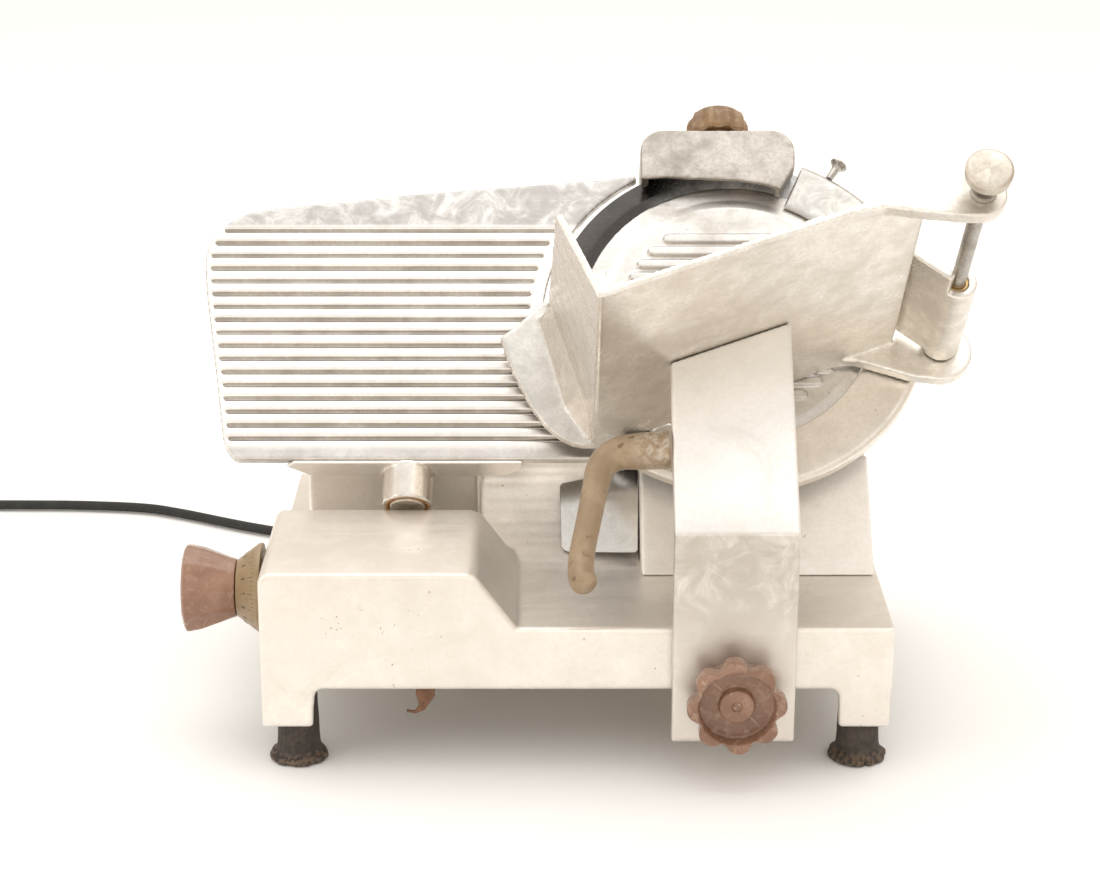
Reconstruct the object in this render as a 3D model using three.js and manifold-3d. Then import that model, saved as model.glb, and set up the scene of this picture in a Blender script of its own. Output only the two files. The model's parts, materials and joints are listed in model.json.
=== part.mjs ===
// Deli meat slicer with a 45 degree leaning blade. Millimetres, +Z up, front faces -Y.
// Shapes are first laid out round the blade (design frame) and moved to the part frame at the end.
import * as THREE from 'three';
import { mergeVertices } from 'three/addons/utils/BufferGeometryUtils.js';
import Module from 'manifold-3d';

const wasm = await Module();
wasm.setup();
const { Manifold, Mesh } = wasm;

// ---------------------------------------------------------------- driving dimensions
const SHIFT_X = 27.05, SHIFT_Y = -64.38, FLOOR_Z = -184;   // design frame -> part frame
const BX = 150.83, BY = 0, BZ = 105.1;                    // blade centre, design frame
const BLADE_R = 150, COVER_R = 125.4, RIB_CIRCLE_R = 92.5;
const GUARD_RO = 158, GUARD_RI = 127, GUARD_LIP_R = 113, GUARD_W = 6.5;
const GUARD_A0 = -123, GUARD_A1 = 66.6;                   // degrees round the blade
const PITCH = 12.16, GROOVES = 17, GROOVE_V0 = 86.5, GROOVE_W = 4, GROOVE_D = 2.2;
const GAUGE_W = -3, GAUGE_T = 8, GAUGE_END_R = 157, GROOVE_END_R = 168, GAUGE_TRAVEL = 15;
const TRAY_W0 = 9, TRAY_W1 = 256, WING_T = 6, WING_SLOPE = 20.7;
const ROD_U = 165, ROD_V = -36, ROD_R = 6;
const HUB_R = 15, HUB_W0 = 22, HUB_W1 = 125;
const ARM_X0 = 92, ARM_X1 = 186, ARM_W = 118, ARM_T = 8, ARM_Y = -258.6, ARM_BOTTOM = -155.9;
const BASE_X0 = -220.4, BASE_X1 = 261, BASE_Y0 = -244.6, BASE_Y1 = 110, BASE_Z0 = -119;
const BLOCK_TOP = -24, BLOCK_BACK = -101.6, DECK = -67.9, WALL_Y = -46, HOUSE_TOP = 62, HOUSE_X0 = -199;
const WALL = 6, LEG_W = 39.5, LEG_Z = -150;
const PED_X0 = 72, PED_X1 = 258, PED_W = -25, PED_TOP_V = -112;
const HEAD_W0 = -36, HEAD_W1 = -74.7, HEAD_R = 84;
const MOTOR_U = 50, MOTOR_V = -84, PULLEY_R = 46, PINION_R = 16;
const FOOT_X = [-194.8, 238.5], FOOT_Y = [-221, 86];
const SLIDE_Y = -195, SLIDE_Z = -100, SLIDE_R = 8, GUIDE_Y = -150, GUIDE_R = 5;
const KNOB_Y = -175, KNOB_Z = -62.3;
const STAR_X = 139.8, STAR_Z = -115.1;
const SH_U = -7.5, SH_W = -16;
const GAP = 0.3;

// ---------------------------------------------------------------- helpers
const S = Math.SQRT1_2, D2R = Math.PI / 180;
const V3 = (x, y, z) => new THREE.Vector3(x, y, z);
const AXV = V3(0, S, S), AXN = V3(0, -S, S);
const MB = new THREE.Matrix4().makeBasis(V3(1, 0, 0), AXV, AXN).setPosition(BX, BY, BZ);
const P = (u, v, w) => V3(u, v, w).applyMatrix4(MB);

function man(g) {
  g = g.clone();
  for (const k of Object.keys(g.attributes)) if (k !== 'position') g.deleteAttribute(k);
  g = mergeVertices(g, 1e-4);
  const pos = new Float32Array(g.attributes.position.array);
  let idx = new Uint32Array(g.index.array);
  const keep = [];
  for (let i = 0; i < idx.length; i += 3) {
    const a = idx[i], b = idx[i + 1], c = idx[i + 2];
    if (a !== b && b !== c && a !== c) keep.push(a, b, c);
  }
  idx = new Uint32Array(keep);
  let vol = 0;
  const q = (i) => V3(pos[3 * i], pos[3 * i + 1], pos[3 * i + 2]);
  for (let i = 0; i < idx.length; i += 3) vol += q(idx[i]).dot(q(idx[i + 1]).cross(q(idx[i + 2])));
  if (vol < 0) for (let i = 0; i < idx.length; i += 3) { const t = idx[i]; idx[i] = idx[i + 1]; idx[i + 1] = t; }
  return new Manifold(new Mesh({ numProp: 3, vertProperties: pos, triVerts: idx }));
}
const join = (...m) => m.reduce((a, b) => a.add(b));
const cut = (a, ...m) => m.reduce((x, y) => x.subtract(y), a);
function geo(m) {
  const s = m.getMesh();
  const g = new THREE.BufferGeometry();
  const n = s.vertProperties.length / s.numProp, p = new Float32Array(n * 3);
  for (let i = 0; i < n; i++) for (let k = 0; k < 3; k++) p[3 * i + k] = s.vertProperties[i * s.numProp + k];
  g.setAttribute('position', new THREE.BufferAttribute(p, 3));
  g.setIndex(new THREE.BufferAttribute(new Uint32Array(s.triVerts), 1));
  return g;
}
// polygon with rounded corners: [x, y, radius]
function rp(pts, seg = 4) {
  const out = [], n = pts.length;
  pts.forEach((p, i) => {
    const r = p[2] || 0;
    if (!r) { out.push([p[0], p[1]]); return; }
    const a = pts[(i + n - 1) % n], b = pts[(i + 1) % n];
    const c = new THREE.Vector2(p[0], p[1]);
    const da = new THREE.Vector2(a[0], a[1]).sub(c).normalize(), db = new THREE.Vector2(b[0], b[1]).sub(c).normalize();
    const h = Math.acos(Math.max(-1, Math.min(1, da.dot(db)))) / 2, t = r / Math.tan(h);
    const o = da.clone().add(db).normalize().multiplyScalar(r / Math.sin(h)).add(c);
    const s = c.clone().addScaledVector(da, t).sub(o), e = c.clone().addScaledVector(db, t).sub(o);
    const a0 = Math.atan2(s.y, s.x);
    let d = Math.atan2(e.y, e.x) - a0;
    while (d > Math.PI) d -= 2 * Math.PI;
    while (d < -Math.PI) d += 2 * Math.PI;
    for (let k = 0; k <= seg; k++) out.push([o.x + r * Math.cos(a0 + d * k / seg), o.y + r * Math.sin(a0 + d * k / seg)]);
  });
  return out;
}
const arc = (cx, cy, r, a0, a1, n) => Array.from({ length: n + 1 }, (_, k) => {
  const a = (a0 + (a1 - a0) * k / n) * D2R; return [cx + r * Math.cos(a), cy + r * Math.sin(a)];
});
function ext(pts, d, m) {
  const s = new THREE.Shape(pts.map((p) => new THREE.Vector2(p[0], p[1])));
  const g = new THREE.ExtrudeGeometry(s, { depth: d, bevelEnabled: false, steps: 1 });
  g.applyMatrix4(m);
  return man(g);
}
const prW = (pts, w0, w1) => ext(pts, w1 - w0, MB.clone().multiply(new THREE.Matrix4().makeTranslation(0, 0, w0)));
const prX = (pts, x0, x1) => ext(pts, x1 - x0, new THREE.Matrix4().makeBasis(V3(0, 1, 0), V3(0, 0, 1), V3(1, 0, 0)).setPosition(x0, 0, 0));
const prY = (pts, y0, y1) => ext(pts, y1 - y0, new THREE.Matrix4().makeBasis(V3(1, 0, 0), V3(0, 0, 1), V3(0, -1, 0)).setPosition(0, y1, 0));
const prZ = (pts, z0, z1) => ext(pts, z1 - z0, new THREE.Matrix4().makeTranslation(0, 0, z0));
// section in (u, w) extruded along v
const prV = (pts, v0, v1) => ext(pts, v1 - v0, MB.clone().multiply(new THREE.Matrix4().makeBasis(V3(1, 0, 0), V3(0, 0, 1), V3(0, -1, 0)).setPosition(0, v1, 0)));
const rect = (a0, a1, b0, b1, r = 0, seg = 3) => rp([[a0, b0, r], [a1, b0, r], [a1, b1, r], [a0, b1, r]], seg);
const box = (x0, x1, y0, y1, z0, z1) => prZ(rect(x0, x1, y0, y1), z0, z1);
const boxW = (u0, u1, v0, v1, w0, w1) => prW(rect(u0, u1, v0, v1), w0, w1);
// profile [r, h] turned round an axis through o along d
function lat(prof, o, d, seg = 40) {
  const g = new THREE.LatheGeometry(prof.map((p) => new THREE.Vector2(p[0], p[1])), seg);
  g.applyQuaternion(new THREE.Quaternion().setFromUnitVectors(V3(0, 1, 0), d.clone().normalize()));
  g.translate(o.x, o.y, o.z);
  return man(g);
}
const cyl = (r, a, b, seg = 24) => {
  const d = b.clone().sub(a);
  return lat([[0, 0], [r, 0], [r, d.length()], [0, d.length()]], a, d, seg);
};
const ring = (ri, ro, a, b, seg = 24) => {
  const d = b.clone().sub(a), L = d.length();
  return lat([[ri, 0], [ro, 0], [ro, L], [ri, L], [ri, 0]], a, d, seg);
};
const latW = (prof, seg = 64, u = 0, v = 0) => lat(prof, P(u, v, 0), AXN, seg);
// closed skin through equal rings of points
function skin(rings) {
  const n = rings[0].length, pos = [], idx = [];
  rings.forEach((r) => r.forEach((p) => pos.push(p.x, p.y, p.z)));
  for (let i = 0; i + 1 < rings.length; i++) for (let k = 0; k < n; k++) {
    const a = i * n + k, b = i * n + (k + 1) % n, c = a + n, d = b + n;
    idx.push(a, b, d, a, d, c);
  }
  [0, rings.length - 1].forEach((ri, e) => {
    const c = rings[ri].reduce((s, p) => s.add(p), V3(0, 0, 0)).multiplyScalar(1 / n);
    const ci = pos.length / 3; pos.push(c.x, c.y, c.z);
    for (let k = 0; k < n; k++) {
      const a = ri * n + k, b = ri * n + (k + 1) % n;
      if (e === 0) idx.push(ci, b, a); else idx.push(ci, a, b);
    }
  });
  const g = new THREE.BufferGeometry();
  g.setAttribute('position', new THREE.Float32BufferAttribute(pos, 3));
  g.setIndex(idx);
  return man(g);
}
function tube(pts, radii, seg = 12, steps = 24) {
  const c = new THREE.CatmullRomCurve3(pts, false, 'centripetal');
  const L = steps, fr = c.computeFrenetFrames(L, false), out = [];
  for (let i = 0; i <= L; i++) {
    const t = i / L, p = c.getPointAt(t), x = t * (radii.length - 1), j = Math.min(radii.length - 2, Math.floor(x));
    const r = radii.length === 1 ? radii[0] : radii[j] + (radii[j + 1] - radii[j]) * (x - j);
    const q = [];
    for (let k = 0; k < seg; k++) {
      const a = 2 * Math.PI * k / seg;
      q.push(p.clone().addScaledVector(fr.normals[i], r * Math.cos(a)).addScaledVector(fr.binormals[i], r * Math.sin(a)));
    }
    out.push(q);
  }
  return skin(out);
}
// fluted body of revolution: sections [h, r, depth]
function fluted(sec, o, d, lobes, n, phase = 0) {
  const q = new THREE.Quaternion().setFromUnitVectors(V3(0, 1, 0), d);
  return skin(sec.map(([h, r, dep]) => Array.from({ length: n }, (_, k) => {
    const a = 2 * Math.PI * k / n, rr = r - dep * 0.5 * (1 - Math.cos(lobes * (a - phase)));
    return V3(rr * Math.cos(a), h, rr * Math.sin(a)).applyQuaternion(q).add(o);
  })));
}
const group = new THREE.Group();
group.name = 'deli_meat_slicer';
function add(name, m, color, rough = 0.5, metal = 0) {
  const g = geo(m).toNonIndexed();
  g.translate(-SHIFT_X, -SHIFT_Y, -FLOOR_Z);
  g.computeVertexNormals();
  const mesh = new THREE.Mesh(g, new THREE.MeshStandardMaterial({ color, roughness: rough, metalness: metal }));
  mesh.name = name;
  group.add(mesh);
}
const ALU = '#cfc8bd', ALU_D = '#b3aa9b', STEEL = '#8d8c8a', BAKE = '#6b4636', RUB = '#2d2723', KHAKI = '#8b7c5e';

// ---------------------------------------------------------------- base casting
{
  const front = rp([[BASE_X0, BASE_Z0 - 0.01], [BASE_X0, BLOCK_TOP, 8], [-57, BLOCK_TOP, 14], [-27, -65, 8], [-20, DECK - 8], [-20, BASE_Z0 - 0.01]], 5);
  const block = prY(front, BASE_Y0, BLOCK_BACK);
  const body = box(BASE_X0, BASE_X1, BASE_Y0, BASE_Y1, BASE_Z0, DECK);
  const ca = arc(0, 0, 1, -90, 0, 12).map(([c, s]) => [-137 + 91 * c, 10.1 + 78 * s]);
  const chute = prX([...ca, [WALL_Y + 3, 10.1], [WALL_Y + 3, DECK - 1], [-137, DECK - 1]], -57, PED_X0);
  const left = prX(rp([[WALL_Y, BASE_Z0], [BASE_Y1, BASE_Z0], [BASE_Y1, HOUSE_TOP, 12], [7.9, HOUSE_TOP, 10], [WALL_Y, 8.2]]), HOUSE_X0, PED_X0);
  const right = prX(rp([[WALL_Y, BASE_Z0], [BASE_Y1, BASE_Z0], [BASE_Y1, HOUSE_TOP, 12], [63, HOUSE_TOP], [WALL_Y, -46.96]]), PED_X0 - 1, PED_X1);
  let m = join(body, block, chute, left, right);
  const wallAt = (x) => x;
  // hollow from below
  const cBlock = prY(rp([[BASE_X0 + WALL, BASE_Z0 - 5], [BASE_X0 + WALL, BLOCK_TOP - WALL, 4], [-60, BLOCK_TOP - WALL, 8], [-33, -66], [-26, DECK - 10], [-26, BASE_Z0 - 5]]), BASE_Y0 + WALL, BLOCK_BACK - WALL);
  const cBody = box(BASE_X0 + WALL, BASE_X1 - WALL, BASE_Y0 + WALL, BASE_Y1 - WALL, BASE_Z0 - 5, DECK - WALL);
  const cLeft = prX([[-40, -90], [104, -90], [104, 50], [98, 56], [10.3, 56], [-40, 5.7]], HOUSE_X0 + WALL, PED_X0 - WALL);
  const cRight = prX([[-40, -90], [104, -90], [104, 50], [98, 56], [65.5, 56], [-40, -49.5]], PED_X0 - WALL - 1, PED_X1 - WALL);
  m = cut(m, cBlock, cBody, cLeft, cRight);
  // corner legs: two walls each, and a pad for the rubber foot
  const L = (sx, sy) => {
    const x0 = sx < 0 ? BASE_X0 : BASE_X1 - 0.8, y0 = sy < 0 ? BASE_Y0 : BASE_Y1;
    const ax = sx < 0 ? [x0, x0 + LEG_W] : [x0 - LEG_W, x0], wx = sx < 0 ? [x0, x0 + WALL] : [x0 - WALL, x0];
    const wy = sy < 0 ? [y0, y0 + WALL] : [y0 - WALL, y0], ay = sy < 0 ? [y0, y0 + LEG_W] : [y0 - LEG_W, y0];
    const inX = sx < 0 ? ax[1] : ax[0], d = sx < 0 ? 1 : -1;
    const wallF = prY(rp([[sx < 0 ? ax[0] : ax[1], BASE_Z0 + 3], [sx < 0 ? ax[0] : ax[1], LEG_Z, 2], [inX, LEG_Z, 2], [inX + 1.4 * d, BASE_Z0, 5], [inX + 12 * d, BASE_Z0], [inX + 12 * d, BASE_Z0 + 3]]), wy[0], wy[1]);
    const side = box(wx[0], wx[1], ay[0], ay[1], LEG_Z, BASE_Z0 + 3);
    const fx = FOOT_X[sx < 0 ? 0 : 1], fy = FOOT_Y[sy < 0 ? 0 : 1];
    const padX = sx < 0 ? [BASE_X0 + WALL - 1, fx + 17] : [fx - 17, BASE_X1 - WALL + 1], padY = sy < 0 ? [BASE_Y0 + WALL - 1, fy + 17] : [fy - 17, BASE_Y1 - WALL + 1];
    return join(wallF, side, box(padX[0], padX[1], padY[0], padY[1], BASE_Z0 - 4, BASE_Z0 + 4));
  };
  m = join(m, L(-1, -1), L(1, -1), L(-1, 1), L(1, 1));
  m = cut(m,
    box(-130, -100, -113, -60, -90, -49),                                     // slot for the gauge carrier
    cyl(7.2, V3(BASE_X0 - 5, KNOB_Y, KNOB_Z), V3(BASE_X0 + 12, KNOB_Y, KNOB_Z)), // thickness shaft
    cyl(22, P(MOTOR_U, MOTOR_V, -86), P(MOTOR_U, MOTOR_V, -70)),               // motor shaft and belt
    cyl(7, V3(10, 100, -95), V3(10, 115, -95)),                                // cord gland
    box(-112, -68, 100, 115, -62, -8));                                        // switch plate
  add('base_casting', m, ALU, 0.45, 0.7);
}
// pedestal: leaning front skin with two cheeks, stands on the deck in front of the housing wall
{
  const prof = (x0, x1) => prX([[-137.8, DECK + GAP], [-61.5, 8.2], [-53.0, -0.3], [WALL_Y - GAP, -7], [WALL_Y - GAP, DECK + GAP]], x0, x1);
  const out = prof(PED_X0 + GAP, PED_X1);
  const inn = prX([[-126, DECK - 2], [-58, 2], [-40, -16], [-40, DECK - 2]], PED_X0 + 8, PED_X1 - 8);
  add('blade_pedestal', cut(out, inn), '#e4dfd7', 0.4, 0.6);
}
{
  const o = [[-78.5, -140], [107, -140], [107, -58], ...arc(0, 0, HEAD_R, -8, 159, 26)];
  const i = [[-72.5, -134], [101, -134], [101, -56], ...arc(0, 0, HEAD_R - 6, -6, 157, 24)];
  const yb = (y) => box(-200, 400, y, 300, -200, 400);
  let m = prW(o, HEAD_W1, HEAD_W0).intersect(yb(WALL_Y + GAP));
  m = cut(m, prW(i, HEAD_W1 - 2, HEAD_W0 - 6).intersect(yb(WALL_Y + 6)));
  m = join(m, cyl(27, P(0, 0, -44), P(0, 0, -12), 36));
  m = cut(m, cyl(13, P(0, 0, -50), P(0, 0, -5), 32));
  add('blade_head', m, ALU_D, 0.5, 0.6);

  add('head_rear_cover', cut(prW(arc(0, 0, HEAD_R, 12.9, 167.1, 26), -77.7, -75), cyl(4.6, P(0, 0, -90), P(0, 0, -60))), ALU, 0.4, 0.7);
}
add('bottom_plate', cut(box(-212, 252, -38, 102, -122.3, -119.3), box(-214, -176, 66, 104, -125, -115), box(220, 260, 66, 104, -125, -115)), ALU_D, 0.5, 0.7);
// feet
['foot_front_left', 'foot_front_right', 'foot_rear_left', 'foot_rear_right'].forEach((nm, k) => {
  const x = FOOT_X[k % 2], y = FOOT_Y[k >> 1];
  add(nm, lat([[0, 0], [23.6, 0], [24.5, 1.5], [24.2, 5.5], [17.5, 7.5], [15.6, 12], [15.2, 60.5], [0, 60.5]], V3(x, y, FLOOR_Z), V3(0, 0, 1), 28), RUB, 0.9, 0);
});
// carriage guide
add('slide_rod', cyl(SLIDE_R, V3(BASE_X0 + WALL + GAP, SLIDE_Y, SLIDE_Z), V3(BASE_X1 - WALL - GAP, SLIDE_Y, SLIDE_Z), 28), STEEL, 0.25, 0.95);
add('guide_rod', cyl(GUIDE_R, V3(BASE_X0 + WALL + GAP, GUIDE_Y, SLIDE_Z), V3(BASE_X1 - WALL - GAP, GUIDE_Y, SLIDE_Z), 24), STEEL, 0.25, 0.95);
add('slide_block', cut(box(95, 183, -214, -138, -118, -82), box(90, 190, -220, -203.4, -120, -114.6),
  cyl(SLIDE_R + 0.4, V3(90, SLIDE_Y, SLIDE_Z), V3(190, SLIDE_Y, SLIDE_Z), 28),
  box(90, 190, -160, -130, SLIDE_Z - 5.5, SLIDE_Z + 5.5)), '#a79a78', 0.5, 0.5);
{
  const strap = prX(rp([[-250.3, -155.5], [-176, -155.5, 4], [-176, -118.3], [-206, -118.3], [-206, -146, 3], [-246.3, -146], [-246.3, -100], [-250.3, -100]]), 112, 166);
  add('carriage_foot', cut(strap, cyl(5.4, V3(STAR_X, -260, STAR_Z), V3(STAR_X, -240, STAR_Z), 24)), ALU_D, 0.5, 0.6);
}
// carriage arm: vertical part, bend, leaning part up to the tray
{
  const pr = rp([[ARM_Y, ARM_BOTTOM], [ARM_Y + ARM_T, ARM_BOTTOM], [ARM_Y + ARM_T, 10.07],
    [-120, 140.7], [-125.66, 146.3], [ARM_Y, 13.36]]);
  let m = prX(pr, ARM_X0, ARM_X1);
  const t = Math.tan(WING_SLOPE * D2R), L = (u) => -99.6 + t * (u + 50.4) - 0.4;
  m = m.intersect(prW([[-120, -520], [120, -520], [120, L(120)], [-120, L(-120)]], -200, 300));
  m = cut(m, cyl(5.4, V3(STAR_X, -270, STAR_Z), V3(STAR_X, -240, STAR_Z), 24));
  add('carriage_arm', m, ALU, 0.35, 0.8);
}
// star knob with its screw
{
  const n = 48, ph = 3.5 * D2R;
  const sec = (y, r, d) => Array.from({ length: n }, (_, k) => {
    const a = 2 * Math.PI * k / n, rr = r - d * 0.5 * (1 - Math.cos(8 * (a - ph)));
    return V3(STAR_X + rr * Math.cos(a), y, STAR_Z + rr * Math.sin(a));
  });
  let m = skin([sec(-288, 35.8, 5), sec(-286, 37.6, 6), sec(-274, 37.6, 6), sec(-269, 34, 4), sec(-259, 20, 0)]);
  m = cut(m, cyl(29, V3(STAR_X, -290, STAR_Z), V3(STAR_X, -278, STAR_Z), 40));
  m = join(m, lat([[0, 0], [13.6, 0], [13, 5], [0, 5]], V3(STAR_X, -278, STAR_Z), V3(0, -1, 0), 28), cyl(5, V3(STAR_X, -259.5, STAR_Z), V3(STAR_X, -246.8, STAR_Z), 20));
  add('star_knob', m, BAKE, 0.45, 0);
}
// tray casting: V of two wings, flange behind, two ears
{
  const t = Math.tan(WING_SLOPE * D2R), L = (u) => -99.6 + t * (u + 50.4), c = Math.cos(WING_SLOPE * D2R), s = Math.sin(WING_SLOPE * D2R);
  const wing = prW([[-114, L(-114)], [127, L(127)], [127 - WING_T * s, L(127) + WING_T * c], [-116, L(-114) + WING_T * c]], TRAY_W0, TRAY_W1);
  const q = (w, a, b) => { // left wing section from a (bottom) to b (top)
    const d = new THREE.Vector2(b[0] - a[0], b[1] - a[1]).normalize(), nx = d.y * WING_T, ny = -d.x * WING_T;
    return [P(a[0], a[1], w), P(a[0] + nx, a[1] + ny, w), P(b[0] + nx, b[1] + ny, w), P(b[0], b[1], w)];
  };
  const leftw = skin(Array.from({ length: 9 }, (_, k) => { const f = k / 8; return q(TRAY_W0 + (TRAY_W1 - TRAY_W0) * f, [-115.5 - 1.5 * f, -122.5 - 0.4 * f], [-153 + 5.7 * f, 7 - 63.1 * f]); }));
  const corner = prW([[-117, -122.8], [-108, -121], [-94, -112], [-104, -111], [-110, -106], [-112, -98], [-120, -112]], TRAY_W0, TRAY_W1);
  const flange = prW([[-112.5, -123.4], [-122.9, -123.8], [-132.4, -122.6], [-142.7, -117], [-154.7, -106.3], [-166.8, -88], [-181.5, -56.4], [-188, -38], [-191.4, -26], [-175.3, -12], [-157.6, 7.5], [-150, 6], [-150, -20], [-112, -110]].reverse(), TRAY_W0, 17);
  const tri = (a, k) => [P(a[0] + 2, a[1], 16), P(a[0] - 12 * k, a[1] - 3 * k, 16), P(a[0] + 2, a[1], 16 + 28 * k)];
  const gus = skin([tri([-117, -118], 0.4), tri([-127, -88], 1), tri([-149, -6], 1)]);
  const earU = prW([[70, L(70)], [93.5, -42.9], [111.5, -34], [148.8, -21.6], ...arc(163, -36, 20, 112, -60, 10), [165.9, -56.1], [153.6, -56.1], [124.8, -53.1], [93.1, -48.9]], TRAY_W1 - 12, TRAY_W1);
  const earL = prW([[85, L(85) - 1], [97, -49.5], [140.6, -63.6], ...arc(164.5, -40, 26.5, -100, 60, 10), [172, -16], [128, -26], [100, L(100) + 5]], TRAY_W0, 20);
  let m = join(wing, leftw, corner, flange, gus, earU, earL);
  m = cut(m, cyl(ROD_R + 0.4, P(ROD_U, ROD_V, 12), P(ROD_U, ROD_V, 270)));
  add('tray_casting', m, ALU, 0.35, 0.8);
}
// push handle on the arm: socket along x, bent lever
add('handle', join(tube([P(-60.4, -171.5, 106), P(-80, -173, 106), P(-98, -174.5, 106), P(-109, -181, 106), P(-115.5, -196, 106), P(-121, -226, 106), P(-127, -262, 107), P(-127.5, -276, 110), P(-124, -287, 114)], [15.5, 14.6, 13.5, 12.2, 11.2, 10, 9.7, 10.2, 9.4], 14, 26)), KHAKI, 0.5, 0.3);
// pusher
add('pusher_rod', cyl(ROD_R, P(ROD_U, ROD_V, 12.5), P(ROD_U, ROD_V, 276.5)), STEEL, 0.3, 0.9);
add('rod_knob', latW([[0, 276.8], [8, 276.8], [9, 278.5], [17.3, 278.5], [17.6, 286.5], [15, 288.2], [0, 289]], 36, ROD_U, ROD_V), ALU_D, 0.4, 0.8);
add('rod_collar', ring(ROD_R + GAP, 10, P(ROD_U, ROD_V, 256.4), P(ROD_U, ROD_V, 262)), STEEL, 0.4, 0.8);
add('pusher_bush', ring(ROD_R + 0.4, 8, P(ROD_U, ROD_V, HUB_W0 + 1.5), P(ROD_U, ROD_V, HUB_W1 - 1.5), 28), '#a98a4a', 0.4, 0.8);
{
  const hub = cut(cyl(HUB_R, P(ROD_U, ROD_V, HUB_W0), P(ROD_U, ROD_V, HUB_W1), 36));
  const web = prW([[155.6, -48], [129, -26.9], [122, -22.6], [96, -30.4], [96, -24], [121, -16.4], [132, -20.6], [160, -42]], 29, 148);
  add('pusher_hub', cut(join(hub, web), cyl(8.3, P(ROD_U, ROD_V, 10), P(ROD_U, ROD_V, 160), 28)), ALU_D, 0.45, 0.7);
  const t = Math.tan(WING_SLOPE * D2R), L = (u) => -99.6 + t * (u + 50.4) + 9.2;
  add('pusher_plate', prW(rp([[95.6, L(95.6)], [95.6, 14, 12], [60, 18, 10], [-40, -30, 14], [-62, -60, 10], [-62, L(-62)]]), 128, 136), ALU, 0.4, 0.7);
}
// gauge plate, ribbed
const GO = [[-78, 140.4], [-108.5, 136.4], [-277.8, 121.1], [-319.2, 115], [-353.1, 111.8], [-386.7, 107.8], [-405.7, 103.2], [-417.7, 96.6], [-424.2, 90.7], [-431.5, 82.1], [-436.5, 71.1], [-438.5, 59.4], [-437.5, 43.9], [-434.4, 19.6], [-422.4, -55.2], [-419.7, -74.4], [-416.5, -94.4], [-414.6, -107.3], [-412.2, -115.9], [-408.4, -121.9], [-404.3, -126.1], [-399.7, -127]];
{
  let m = prW([...GO, ...arc(0, 0, GAUGE_END_R, 234, 119.6, 24)], GAUGE_W - GAUGE_T, GAUGE_W);
  const ul = (v) => { for (let i = 5; i + 1 < GO.length; i++) { const a = GO[i], b = GO[i + 1]; if ((a[1] - v) * (b[1] - v) <= 0) return a[0] + (b[0] - a[0]) * (a[1] - v) / (a[1] - b[1]); } return -420; };
  for (let k = 0; k < GROOVES; k++) {
    const v = GROOVE_V0 - PITCH * k, u0 = ul(v) + 4, u1 = -Math.sqrt(GROOVE_END_R ** 2 - v * v);
    m = cut(m, boxW(u0, u1, v - GROOVE_W / 2, v + GROOVE_W / 2, GAUGE_W - GROOVE_D, GAUGE_W + 2));
  }
  add('gauge_plate', m, ALU, 0.35, 0.8);
}
{
  const bar = prV([[-357, GAUGE_W], [-363, -10], [-345, -27], [-185, -27], [-173, -14], [-173, GAUGE_W]], -130.4, -127.3);
  const lip = boxW(-340, -190, -128, -117, -27, GAUGE_W - GAUGE_T - GAP);
  const boss = cyl(20.5, P(-265.6, -128, -22), P(-265.6, -160, -22), 36);
  let m = join(bar, lip, boss);
  m = cut(m, cyl(15, P(-265.6, -134, -22), P(-265.6, -170, -22), 32));
  m = cut(m, boxW(-300, -230, -126.9, -110, GAUGE_W - GAUGE_T - GAP, 5));
  add('gauge_bracket', m, ALU_D, 0.45, 0.7);
  const stub = cyl(14.6, P(-265.6, -135, -22), P(-265.6, -161, -22), 28);
  const bar2 = prX([[-94, -80], [-76, -80], [-76, -45.9], [-94, -27.9]], -125, -105);
  const link = box(-121, -109, -160, -80, -67, -60.5);
  add('gauge_carrier', join(stub, bar2, link), '#8a7a5f', 0.6, 0.5);
}
// thickness control
add('thickness_knob', fluted([[0, 31, 1.5], [3.5, 34.8, 4], [14, 33.2, 4], [30, 27, 3.4], [41.2, 22.3, 0.8]], V3(-284.5, KNOB_Y, KNOB_Z), V3(1, 0, 0), 10, 50), BAKE, 0.45, 0);
add('thickness_dial', lat([[0, 0], [22.4, 0], [35, 17], [35, 19.4], [0, 19.4]], V3(-243, KNOB_Y, KNOB_Z), V3(1, 0, 0), 48), '#c9b58c', 0.5, 0);
add('thickness_shaft', cyl(6, V3(-223.3, KNOB_Y, KNOB_Z), V3(-84, KNOB_Y, KNOB_Z), 20), STEEL, 0.35, 0.9);
add('thickness_cam', cut(skin([-121, -109].map((x) => Array.from({ length: 48 }, (_, k) => { const a = 2 * Math.PI * k / 48, r = 13 + 11 * ((17 - 7.5 * k + 720) % 360) / 360; return V3(x, KNOB_Y + r * Math.cos(a), KNOB_Z + r * Math.sin(a)); }))), cyl(6.3, V3(-125, KNOB_Y, KNOB_Z), V3(-105, KNOB_Y, KNOB_Z), 20)), STEEL, 0.4, 0.8);
add('shaft_support', cut(prX(rp([[-200, -30.3], [-200, -60, 6], [-190, -80.8, 5], [-160, -80.8, 5], [-150, -60, 6], [-150, -30.3]]), -98, -91), cyl(6.4, V3(-105, KNOB_Y, KNOB_Z), V3(-85, KNOB_Y, KNOB_Z), 20)), ALU_D, 0.5, 0.6);
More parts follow.
